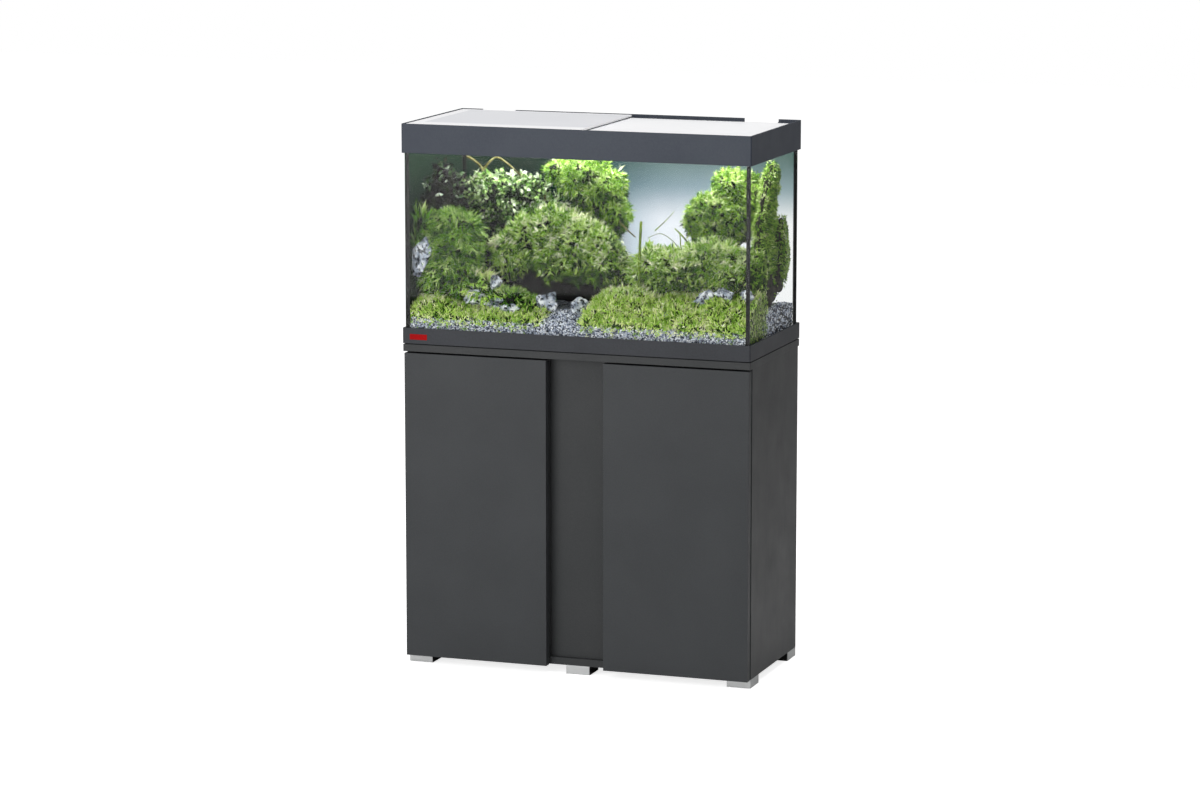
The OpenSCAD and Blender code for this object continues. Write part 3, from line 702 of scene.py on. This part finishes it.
def planted(name, node, skin, core, *more, where=None, **sizes):
    piece = covered(core, where, Material=greens[skin].mat, **sizes)
    piece.name = name
    return done(piece, node, None, *more, smooth=False)


def extra(name, node, skin, core, where=None, smooth=False, **sizes):
    """A second piece for a node that another piece already stands for."""
    piece = covered(core, where, Material=greens[skin].mat, **sizes) if sizes else core
    piece.name = name
    if not sizes:
        piece.data.materials.append(skin.mat)
    piece.data.polygons.foreach_set("use_smooth", [smooth] * len(piece.data.polygons))
    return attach(piece, home[node])


# moss mounds and cushions: a dense coat with gaps where the core shows in the ramp's darkest colour
# as painted shade, and longer tips that stand out of it, lighter in tone as painted highlights
def gappy(p, n):
    """Thinner where a slow noise dips, so that the heart of the plant shows, coloured near black as
    painted shade.
    """
    dip = noise.noise(p * 0.075) + 0.45 * noise.noise(p * 0.19)
    return 1.0 if dip > -0.2 else 0.16


# the bright tips gather where the surface faces up, a painted highlight on the tops
def patchy(p, n):
    return max(0.0, min(1.0, 0.45 + 1.5 * noise.noise(p * 0.05 + Vector((7, 0, 0))) + 0.4 * n.z))


def mound(name, node, skin, lobes, seed, swell, coat, tips, first=True):
    body = blob(name, lobes, swell=swell, seed=seed)
    crest = twin(body)
    place = planted if first else extra
    place(name, node, skin, body, where=gappy, Seed=seed, **coat)
    extra(name + "_tips", node, skin, crest, where=patchy, Seed=seed + 40, Keep_Core=False, **tips)


moss_coat = dict(Shape=sprig, Density=66000.0, Size=1.1, Size_Spread=0.45, Lift=0.008, Lean=0.7,
                 Hang=0.45, Tone_Low=0.1, Tone_High=0.75, Tone_Up=0.28)
moss_tips = dict(Shape=frond, Density=9000.0, Size=0.8, Size_Spread=0.4, Lift=0.009, Lean=0.8,
                 Hang=0.7, Tone_Low=0.45, Tone_High=0.95, Tone_Up=0.2)
lime_coat = dict(moss_coat, Size=0.88, Density=90000.0, Lift=0.01, Hang=0.7, Tone_High=0.7)
lime_tips = dict(moss_tips, Density=12000.0, Size=0.72, Hang=1.0)
fern_coat = dict(moss_coat, Size=1.2, Lift=0.011, Lean=0.95, Hang=0.35, Tone_High=0.8)
fern_tips = dict(moss_tips, Shape=leaflet, Density=13000.0, Size=0.85, Lift=0.016, Lean=1.3,
                 Hang=0.3, Tone_Low=0.5, Tone_High=1.0)

mound("left_moss_mound", "left_moss", "moss_green", [
    (-318, -95, 962, 54, 46, 56), (-300, -104, 930, 44, 40, 44), (-345, -98, 935, 44, 42, 48),
    (-326, -100, 890, 50, 44, 46), (-288, -106, 892, 34, 32, 34), (-350, -96, 875, 38, 38, 40),
    (-305, -104, 862, 36, 34, 30)], 1, 10, moss_coat, dict(moss_tips, Density=14000.0, Size=1.1,
                                                           Hang=1.3))
mound("centre_cushion", "centre_moss", "fern_green", [
    (-188, -56, 932, 36, 36, 34), (-146, -60, 954, 44, 42, 40), (-102, -56, 966, 48, 42, 46),
    (-52, -60, 956, 46, 44, 42), (-6, -50, 946, 40, 40, 42), (28, -42, 914, 30, 34, 38),
    (-84, -72, 928, 38, 34, 34), (-34, -74, 920, 40, 34, 28), (14, -60, 912, 36, 32, 26),
    (-206, -50, 902, 24, 28, 22), (-70, -20, 982, 44, 34, 26)],
    2, 13, fern_coat, fern_tips)
mound("crown_mound", "crown_moss", "lime_moss", [
    (-46, 42, 1088, 50, 44, 36), (-4, 34, 1056, 34, 38, 42), (22, 28, 1008, 24, 30, 36),
    (-78, 46, 1076, 30, 34, 30), (-116, 56, 1096, 24, 22, 16), (-32, 20, 1052, 36, 32, 30)],
    3, 11, lime_coat, lime_tips)
mound("right_cushion", "right_moss", "fern_green", [
    (138, -42, 902, 34, 38, 36), (182, -54, 904, 40, 42, 34), (224, -48, 906, 42, 44, 34),
    (268, -56, 920, 42, 44, 40), (312, -46, 912, 42, 42, 40), (352, -40, 904, 34, 36, 38),
    (114, -36, 888, 24, 28, 24), (276, -20, 936, 36, 34, 24)], 4, 12, fern_coat, fern_tips)
mound("right_upper_mounds", "right_moss", "lime_moss", [
    (252, 36, 1020, 50, 42, 38), (290, 42, 1006, 44, 42, 42), (218, 40, 1000, 26, 30, 30),
    (288, 76, 1076, 42, 38, 30), (308, 78, 1056, 38, 38, 36), (258, 30, 984, 40, 36, 28)],
    5, 11, lime_coat, lime_tips, first=False)
mound("leafy_bush_mass", "leafy_bush", "pale_leaf", [
    (-322, 78, 1032, 34, 34, 34), (-284, 75, 1042, 40, 36, 32), (-238, 72, 1042, 40, 38, 32),
    (-202, 68, 1030, 32, 34, 30), (-252, 60, 1004, 44, 38, 30), (-190, 55, 996, 40, 36, 28),
    (-146, 45, 994, 38, 34, 26), (-98, 30, 984, 38, 30, 20), (-352, 80, 1010, 20, 26, 28)],
    6, 17, dict(fern_coat, Shape=leaflet, Density=34000.0, Size=1.05, Lift=0.02, Lean=1.3,
                Hang=0.05, Tone_Low=0.0, Tone_High=0.72, Tone_Up=0.2),
    dict(fern_tips, Density=9000.0, Size=1.15, Lift=0.028, Tone_Low=0.4, Tone_High=0.95))
mound("dusk_stems", "stem_plants", "dusk_leaf", [
    (-378, -62, 1030, 14, 26, 52), (-372, -10, 1056, 20, 30, 46), (-368, 30, 1020, 24, 34, 60),
    (-374, -40, 985, 18, 40, 30)], 7, 16, dict(
        fern_coat, Shape=leaflet, Density=20000.0, Size=1.2, Lift=0.02, Lean=1.4, Tone_Low=0.0,
        Tone_High=0.6, Tone_Up=0.1),
    dict(fern_tips, Density=2600.0, Size=1.15, Lift=0.03, Tone_Low=0.4))
mound("side_fern", "carpet_plants", "moss_green", [
    (-384, -122, 955, 7, 20, 52), (-386, -96, 940, 6, 16, 60)], 8, 4,
    dict(moss_coat, Shape=frond, Density=16000.0, Size=1.5, Hang=-0.8),
    dict(moss_tips, Density=6000.0, Size=1.6, Hang=-1.2), first=False)
mound("bright_clump", "carpet_plants", "lawn_green", [
    (-253, -112, 856, 34, 20, 24), (-228, -116, 846, 26, 18, 16)], 9, 6,
    dict(moss_coat, Shape=frond, Density=30000.0, Size=0.85, Hang=0.0, Lean=0.5, Tone_Low=0.3),
    dict(moss_tips, Density=9000.0, Size=1.0, Hang=-0.3), first=False)
mound("green_clump", "carpet_plants", "moss_green", [
    (-170, -118, 828, 34, 18, 18), (-134, -120, 818, 30, 16, 12), (-204, -112, 836, 20, 16, 14)],
    10, 6, dict(moss_coat, Density=60000.0, Size=0.8, Hang=0.0), moss_tips, first=False)


# low carpet, higher towards the back and beside the right pane
# higher and lower spots in the carpet, (x, y, radius, height)
TUFTS = ((70, -104, 40, 22), (120, -84, 30, 12), (215, -130, 32, 12), (312, -122, 36, 15),
         (160, -142, 24, -8), (-362, -142, 24, 12), (-308, -138, 26, 10), (-250, -146, 20, -6))


def lawn(rise, wave):
    def top(x, y):
        tufts = sum(h * math.exp(-((x - a) / r) ** 2 - ((y - b) / r) ** 2) for a, b, r, h in TUFTS)
        return (ground(x, y) + rise(x, y) + tufts * min(1, (y + 178) / 24)
                + wave * noise.noise(Vector((x, y, 9)) * 0.05))
    return top


def lawn_foot(x, y):
    """The carpet's underside, lifted along the front pane so that gravel shows below it."""
    return CARPET_EDGE - 1 if y < -HALF_D + 8 else FLOOR + 24


left_lawn = slab("left_lawn", -HALF_W + 1, -86, -HALF_D + 4, -92, lawn(
    lambda x, y: (5 + 16 * math.exp(-((x + 340) / 66) ** 2)) * min(1, (y + 176) / 20)
    * min(1, (-80 - x) / 26), 14), lawn_foot, 80, 24)
right_lawn = slab("right_lawn", 8, HALF_W - 1, -HALF_D + 4, -28, lawn(
    lambda x, y: (4 + 36 * max(0.0, min(1, (y + 165) / 90)) * (0.55 + 0.45 * min(1, x / 250)))
    * min(1, (y + 178) / 16) * min(1, (x - 2) / 30), 18), lawn_foot, 90, 40)


def grown(p, n):
    """The carpet stops in a ragged line a little above the foot of the front pane."""
    edge = CARPET_EDGE + 4 * noise.noise(Vector((p.x * 0.06, 0, 3))) + 3 * noise.noise(p * 0.2)
    if p.x > 388:
        edge = 766 + 0.16 * max(0, p.y + 120)
    return (1.0 if p.z > edge else 0.0) * (gappy(p, n) * 0.5 + 0.5)


lawn_coat = dict(Shape=blade, Density=85000.0, Size=1.0, Size_Spread=0.45, Lift=0.005, Lean=0.8,
                 Hang=-0.35, Tone_Low=0.16, Tone_High=0.9, Tone_Up=0.1)
lawn_tips = dict(Shape=leaflet, Density=9000.0, Size=0.6, Size_Spread=0.4, Lift=0.008, Lean=1.0,
                 Tone_Low=0.45, Tone_High=1.1, Tone_Up=0.1, Keep_Core=False)
for name, patch, seed in (("front_carpet", left_lawn, 12), ("right_carpet", right_lawn, 13)):
    crest = twin(patch)
    place = planted if seed == 12 else extra
    place(name, "carpet_plants", "lawn_green", patch, where=grown, Seed=seed, **lawn_coat)
    extra(name + "_tips", "carpet_plants", "fern_green", crest,
          where=lambda p, n: grown(p, n) * patchy(p, n), Seed=seed + 40, **lawn_tips)


# stones
def rough_stone(bm, place, radii, seed, tilt=0.0):
    """A split, angular stone: a ball cut by random planes, then pitted."""
    rnd = random.Random(seed)
    cuts = [(Vector((rnd.gauss(0, 1), rnd.gauss(0, 1), rnd.gauss(0, 1))).normalized(),
             rnd.uniform(0.36, 0.85)) for _ in range(11)]
    turn = Matrix.Rotation(tilt, 3, "Y")
    for v in bmesh.ops.create_icosphere(bm, subdivisions=4, radius=1.0)["verts"]:
        d = v.co.normalized()
        reach = min([1.25] + [k / d.dot(n) for n, k in cuts if d.dot(n) > 0.05])
        reach *= 1 + 0.16 * noise.noise(d * 2.6 + Vector((seed, 0, 0))) - 0.10 * max(
            0, noise.noise(d * 7 + Vector((0, seed, 0))))
        v.co = (Vector(place) + turn @ Vector((d.x * radii[0], d.y * radii[1], d.z * radii[2]))
                * reach) * MM


bm = bmesh.new()
for place, radii, seed, tilt in (
        ((-371, -150, 921), (22, 12, 40), 1, 0.55), ((-262, -130, 826), (26, 16, 26), 2, 0.9),
        ((-214, -132, 824), (30, 14, 17), 12, -0.5), ((-166, -138, 812), (36, 14, 14), 3, -0.1),
        ((-97, -122, 828), (22, 18, 32), 4, 0.5), ((-76, -124, 818), (22, 14, 18), 14, -0.5),
        ((-14, -114, 830), (30, 16, 22), 5, -0.6), ((197, -138, 812), (16, 12, 24), 6, 0.2),
        ((276, -98, 852), (40, 16, 20), 7, -0.15), ((318, -96, 858), (30, 16, 18), 17, 0.3),
        ((372, -100, 862), (18, 12, 24), 8, 0.6), ((-308, -126, 822), (36, 14, 12), 9, -0.5),
        ((-206, -120, 864), (22, 12, 16), 10, 0.7), ((-130, -30, 800), (40, 20, 20), 11, 0.2)):
    rough_stone(bm, place, radii, seed, tilt)
done(kept_inside(from_bmesh("front_stones", bm)), "front_rocks", finish["rock"], smooth=False)

# the driftwood under the cushions: a near-black mass in the dark cave beneath them, its colour
# painted shade
wood = blob("dark_wood_mass", [
    (-240, 20, 860, 56, 46, 90), (-150, 30, 860, 80, 48, 90), (-60, 26, 880, 80, 46, 100),
    (10, 24, 860, 60, 46, 80), (-20, 40, 1000, 40, 32, 60), (250, 10, 850, 100, 46, 60),
    (180, 4, 840, 60, 40, 50), (262, 44, 960, 46, 34, 60), (-330, 20, 850, 60, 60, 80)],
    voxel=7, swell=16, seed=8)
done(kept_inside(wood), "driftwood", finish["driftwood"])

# the tall slab that leans beside the right pane
leaning = [(371, 78, 1112, 9, 22, 22), (371, 62, 1084, 10, 34, 32), (371, 42, 1046, 10, 44, 36),
           (371, 22, 1000, 11, 54, 40), (371, 16, 950, 11, 60, 42), (371, 26, 900, 11, 52, 42),
           (371, 60, 850, 10, 36, 36), (379, 118, 968, 9, 24, 44), (380, 128, 920, 9, 28, 46),
           (378, 112, 876, 9, 28, 36)]
stone = blob("slab_stone", leaning, voxel=4, swell=4, seed=9)
moss = twin(stone)
dark_stone = stone_finish("dark_stone", "0D0C0B", "2A2722", "4A453C", 0.36)
done(kept_inside(stone), "leaning_stone", dark_stone)


def mossy(p, n):
    """Moss over the near side and the low lobe behind; the far edge and the foot stay bare."""
    if p.z < (868 if p.y > 92 else 898) + 14 * noise.noise(p * 0.04):
        return 0.04
    return 1.0 if p.z < 1016 or p.y < 98 + 8 * noise.noise(p * 0.05) else 0.08


extra("slab_moss", "leaning_stone", "lime_moss", moss, where=mossy, Shape=sprig, Density=90000.0,
      Size=0.6, Size_Spread=0.35, Lift=0.004, Lean=0.6, Hang=0.35, Tone_Low=0.2, Tone_High=0.85,
      Tone_Up=0.2, Keep_Core=False, Seed=14)


# twigs, single stems and grass blades
def tube(bm, path, thick, sides=7, knots=0.15, seed=0):
    """A round stick through the points, (x, y, z) in mm, thick at its start and end."""
    pts = [Vector(p) for p in path]
    fine = []
    for k in range(len(pts) - 1):
        a, b, c, d = pts[max(k - 1, 0)], pts[k], pts[k + 1], pts[min(k + 2, len(pts) - 1)]
        for s in range(6):
            t = s / 6
            fine.append(0.5 * (2 * b + (c - a) * t + (2 * a - 5 * b + 4 * c - d) * t * t
                               + (3 * b - a - 3 * c + d) * t ** 3))
    fine.append(pts[-1])
    rings = []
    side = Vector((0.3, 1, 0.2)).normalized()
    for k, p in enumerate(fine):
        way = (fine[min(k + 1, len(fine) - 1)] - fine[max(k - 1, 0)]).normalized()
        u = (side - way * side.dot(way)).normalized()
        w = way.cross(u)
        r = thick[0] + (thick[1] - thick[0]) * k / (len(fine) - 1)
        r *= 1 + knots * noise.noise(p * 0.09 + Vector((seed, 0, 0)))
        rings.append([bm.verts.new((p + (u * math.cos(a) + w * math.sin(a)) * r) * MM)
                      for a in (math.tau * i / sides for i in range(sides))])
    for one, two in zip(rings, rings[1:]):
        for i in range(sides):
            bm.faces.new((one[i], one[(i + 1) % sides], two[(i + 1) % sides], two[i]))
    bm.faces.new(list(reversed(rings[0])))
    bm.faces.new(rings[-1])


bm = bmesh.new()
tube(bm, [(-352, 80, 1122), (-330, 74, 1112), (-312, 70, 1096), (-300, 62, 1060)], (3.0, 2.2))
tube(bm, [(-312, 70, 1090), (-296, 76, 1112), (-278, 80, 1122), (-250, 80, 1106),
          (-220, 78, 1082), (-190, 70, 1066)], (2.8, 1.6), seed=2)
tube(bm, [(-150, 40, 1046), (-148, 38, 1020), (-144, 34, 1000)], (2.4, 2.0), seed=3)
tube(bm, [(40, 0, 1000), (60, -10, 985), (84, -16, 968)], (2.0, 1.4), seed=4)
twigs = from_bmesh("pale_twigs", bm)
twigs.data.materials.append(wood_finish("pale_bark", "37321A", "6C6738", "A3A171").mat)
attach(twigs, home["driftwood"])

bm = bmesh.new()
for path, thick in (
        ([(122, -88, 1013), (120, -90, 960), (119, -92, 905), (120, -94, 868)], (3.0, 2.6)),
        ([(152, 50, 1020), (136, 40, 1000), (114, 30, 978)], (0.5, 1.4)),
        ([(154, 50, 982), (170, 50, 968), (186, 50, 950)], (1.2, 2.0)),
        ([(166, 50, 972), (168, 48, 950), (168, 44, 935)], (1.4, 1.0)),
        ([(100, 20, 962), (126, 30, 972), (150, 34, 960), (166, 34, 944)], (0.6, 0.9))):
    tube(bm, path, thick, sides=6, knots=0.3)
stems = from_bmesh("single_stems", bm)
stems.data.materials.append(wood_finish("stem_green", "2C3A10", "6E8A28", "A7BE4C").mat)
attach(stems, home["stem_plants"])

for tool in (sprig, frond, leaflet, blade, grain):
    bpy.data.objects.remove(tool)


# ---------- floor ----------

FLOOR_REACH = 14
corners = [(a * FLOOR_REACH, b * FLOOR_REACH, 0) for a, b in ((-1, -1), (1, -1), (1, 1), (-1, 1))]
ground_sheet = bpy.data.meshes.new("floor")
ground_sheet.from_pydata(corners, [], [(0, 1, 2, 3)])
floor = linked("floor", ground_sheet)
pale = Finish("floor_paint", Roughness=0.8, Specular_IOR_Level=0.0, Emission_Strength=0.78)
direct = pale.get("ShaderNodeLightPath", None, None, "Is Camera Ray")
pale.set(Base_Color=pale.mixed(pale.cloud(2, 3), ink("F0F0F0"), ink("F6F6F6")),
         Emission_Color=pale.mixed(direct, (0, 0, 0, 1), (1, 1, 1, 1)))
floor.data.materials.append(pale.mat)
